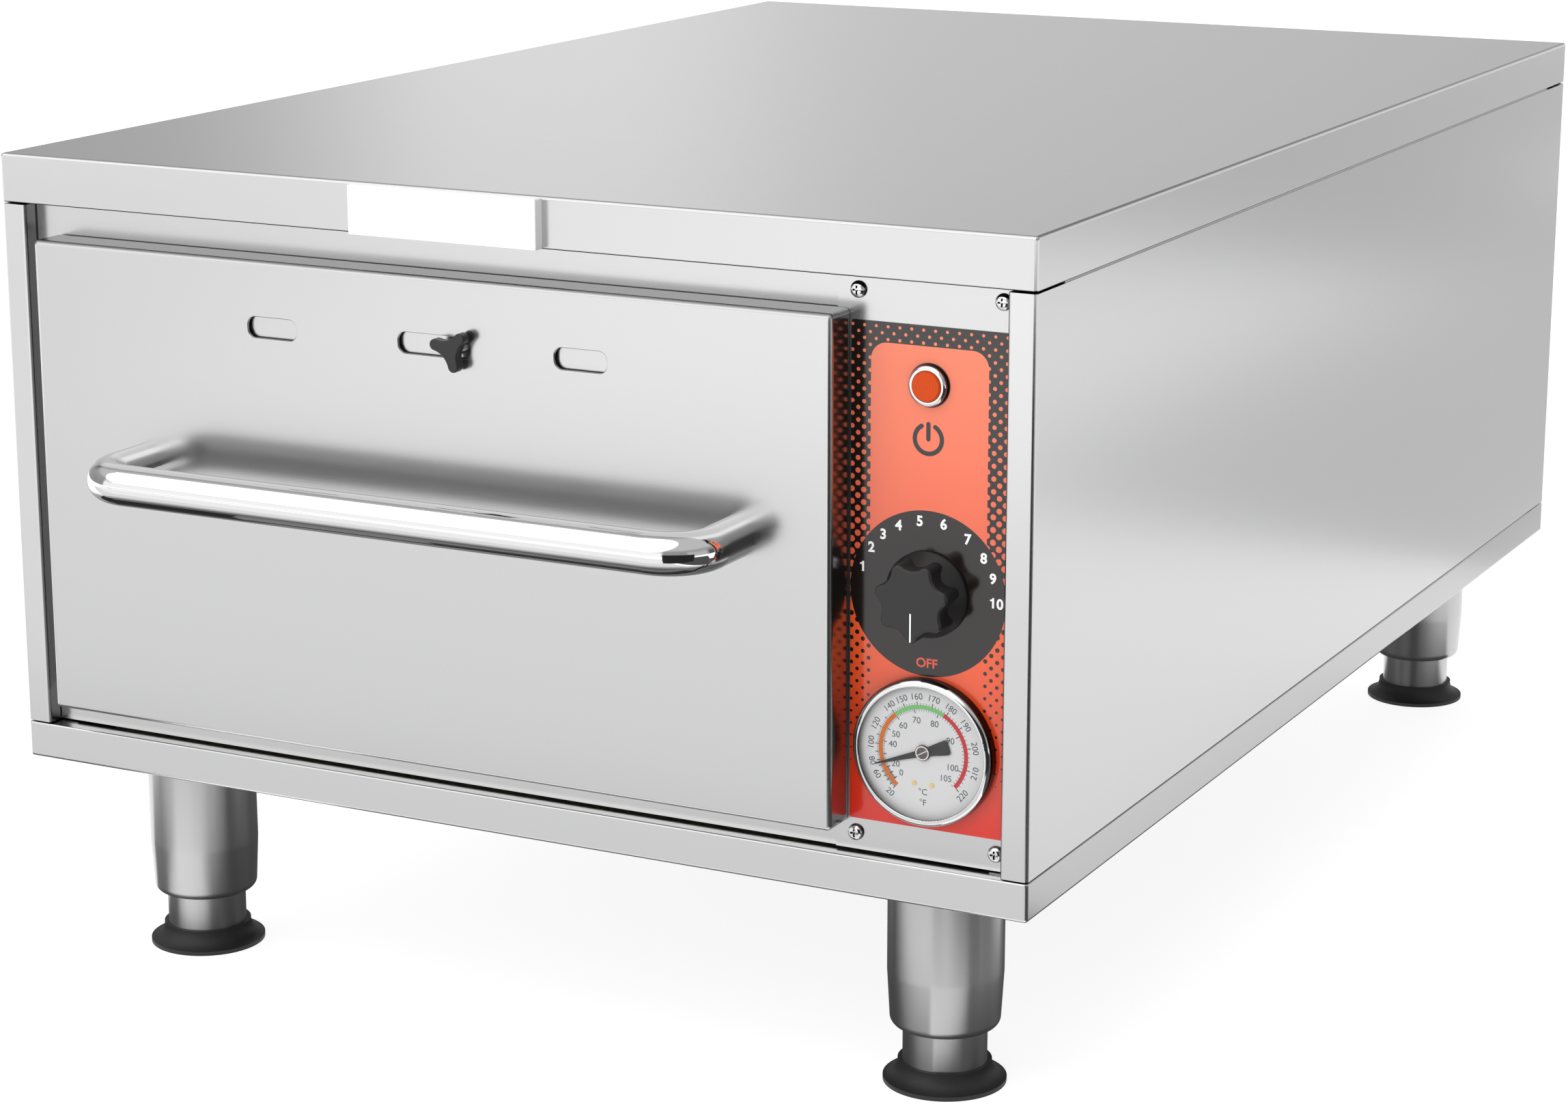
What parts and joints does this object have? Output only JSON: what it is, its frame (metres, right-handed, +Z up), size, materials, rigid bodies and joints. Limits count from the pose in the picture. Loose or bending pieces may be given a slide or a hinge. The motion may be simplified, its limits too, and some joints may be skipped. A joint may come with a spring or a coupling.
{
  "type": "freestanding warming drawer",
  "caption": "Low stainless steel warming cabinet on levelling legs, with a pan drawer on rollers, a tubular handle, a sliding air vent and a control column with dial, gauge and pilot light.",
  "frame": {"origin": "on the floor, below the middle of the whole appliance with its handle", "axes": "+Z up, -Y out of the drawer front towards the user, +X to the user's right"},
  "size_m": [0.5314, 0.8472, 0.3984],
  "materials": {
    "stainless": "fine brushed",
    "polished_steel": "polished",
    "bright_trim": "mirror bright",
    "zinc_steel": "zinc plated",
    "roller_plastic": "matte moulded",
    "badge_white": "satin",
    "overlay_film": "printed film, satin",
    "black_plastic": "satin moulded",
    "amber_lens": "translucent gloss",
    "dial_white": "printed matte",
    "needle_grey": "matte",
    "clear_glass": "clear",
    "insulation": "fibre batt",
    "element_sheath": "oxidised",
    "copper_line": "bright drawn",
    "boot_rubber": "matte"
  },
  "bodies": {
    "cabinet": {"base_pan": "stainless", "left_side_panel": "stainless", "right_side_panel": "stainless", "rear_panel": "stainless", "top_cover": "stainless", "badge_plate": "badge_white", "face_frame": "stainless", "cord_bushing": "black_plastic", "terminal_block": "black_plastic", "control_panel": "stainless", "control_overlay": "overlay_film", "panel_screws": "bright_trim", "pilot_housing": "bright_trim", "pilot_lens": "amber_lens", "gauge_case": "zinc_steel", "gauge_bezel": "bright_trim", "gauge_dial": "dial_white", "gauge_glass": "clear_glass", "thermostat_body": "black_plastic", "thermostat_bulb": "copper_line", "cavity_wrap": "stainless", "cavity_floor": "stainless", "cavity_back": "stainless", "insulation_wrap": "insulation", "insulation_back": "insulation", "heating_element": "element_sheath", "element_supports": "zinc_steel", "left_cabinet_rail": "zinc_steel", "right_cabinet_rail": "zinc_steel", "leg_nuts": "zinc_steel", "leg_sleeve_front_left": "polished_steel", "leg_sleeve_front_right": "polished_steel", "leg_sleeve_rear_left": "polished_steel", "leg_sleeve_rear_right": "polished_steel"},
    "drawer": {"drawer_front": "stainless", "drawer_back_plate": "stainless", "drawer_insulation": "insulation", "drawer_handle": "polished_steel", "handle_bolts": "zinc_steel", "left_drawer_runner": "zinc_steel", "right_drawer_runner": "zinc_steel", "pan_crossbar": "zinc_steel"},
    "food_pan": {"food_pan": "stainless"},
    "vent_plate": {"vent_slide": "stainless"},
    "vent_knob": {"vent_knob": "black_plastic"},
    "thermostat_knob": {"thermostat_shaft": "zinc_steel", "thermostat_knob": "black_plastic"},
    "gauge_needle": {"gauge_needle": "needle_grey"},
    "left_front_roller": {"left_front_roller": "roller_plastic"},
    "left_rear_roller": {"left_rear_roller": "roller_plastic"},
    "right_front_roller": {"right_front_roller": "roller_plastic"},
    "right_rear_roller": {"right_rear_roller": "roller_plastic"},
    "foot_front_left": {"leg_insert_front_left": "polished_steel", "leg_boot_front_left": "boot_rubber"},
    "foot_front_right": {"leg_insert_front_right": "polished_steel", "leg_boot_front_right": "boot_rubber"},
    "foot_rear_left": {"leg_insert_rear_left": "polished_steel", "leg_boot_rear_left": "boot_rubber"},
    "foot_rear_right": {"leg_insert_rear_right": "polished_steel", "leg_boot_rear_right": "boot_rubber"}
  },
  "joints": [
    {"name": "drawer_slide", "type": "slide", "parent": "cabinet", "child": "drawer", "axis": [0, -1, 0], "range_m": [0, 0.565]},
    {"name": "pan_lift", "type": "slide", "parent": "drawer", "child": "food_pan", "axis": [0, 0, 1], "range_m": [0, 0.025]},
    {"name": "vent_slide", "type": "slide", "parent": "drawer", "child": "vent_plate", "axis": [-1, 0, 0], "range_m": [0, 0.024]},
    {"name": "vent_knob_turn", "type": "hinge", "parent": "vent_plate", "child": "vent_knob", "pos_m": [-0.0082, -0.37649, 0.3296], "axis": [0, 1, 0], "range_deg": [-360, 0]},
    {"name": "thermostat_turn", "type": "hinge", "parent": "cabinet", "child": "thermostat_knob", "pos_m": [0.2144, -0.35679, 0.2398], "axis": [0, 1, 0], "range_deg": [0, 270]},
    {"name": "gauge_needle_turn", "type": "hinge", "parent": "cabinet", "child": "gauge_needle", "pos_m": [0.2144, -0.35679, 0.17], "axis": [0, 1, 0], "range_deg": [-33, 240], "stiffness_Nm_per_rad": 0.00005},
    {"name": "left_front_roller_spin", "type": "hinge", "parent": "cabinet", "child": "left_front_roller", "pos_m": [-0.20415, -0.32489, 0.24305], "axis": [1, 0, 0], "range_deg": [0, 2590]},
    {"name": "left_rear_roller_spin", "type": "hinge", "parent": "drawer", "child": "left_rear_roller", "pos_m": [-0.20415, 0.30091, 0.24305], "axis": [1, 0, 0], "range_deg": [0, 2590]},
    {"name": "right_front_roller_spin", "type": "hinge", "parent": "cabinet", "child": "right_front_roller", "pos_m": [0.15225, -0.32489, 0.24305], "axis": [1, 0, 0], "range_deg": [0, 2590]},
    {"name": "right_rear_roller_spin", "type": "hinge", "parent": "drawer", "child": "right_rear_roller", "pos_m": [0.15225, 0.30091, 0.24305], "axis": [1, 0, 0], "range_deg": [0, 2590]},
    {"name": "foot_front_left_screw", "type": "slide", "parent": "cabinet", "child": "foot_front_left", "axis": [0, 0, -1], "range_m": [-0.012, 0.02]},
    {"name": "foot_front_right_screw", "type": "slide", "parent": "cabinet", "child": "foot_front_right", "axis": [0, 0, -1], "range_m": [-0.012, 0.02]},
    {"name": "foot_rear_left_screw", "type": "slide", "parent": "cabinet", "child": "foot_rear_left", "axis": [0, 0, -1], "range_m": [-0.012, 0.02]},
    {"name": "foot_rear_right_screw", "type": "slide", "parent": "cabinet", "child": "foot_rear_right", "axis": [0, 0, -1], "range_m": [-0.012, 0.02]}
  ],
  "couplings": [
    {"joint": "left_front_roller_spin", "follows": "drawer_slide", "rad_per_m": 80},
    {"joint": "left_rear_roller_spin", "follows": "drawer_slide", "rad_per_m": 80},
    {"joint": "right_front_roller_spin", "follows": "drawer_slide", "rad_per_m": 80},
    {"joint": "right_rear_roller_spin", "follows": "drawer_slide", "rad_per_m": 80}
  ]
}
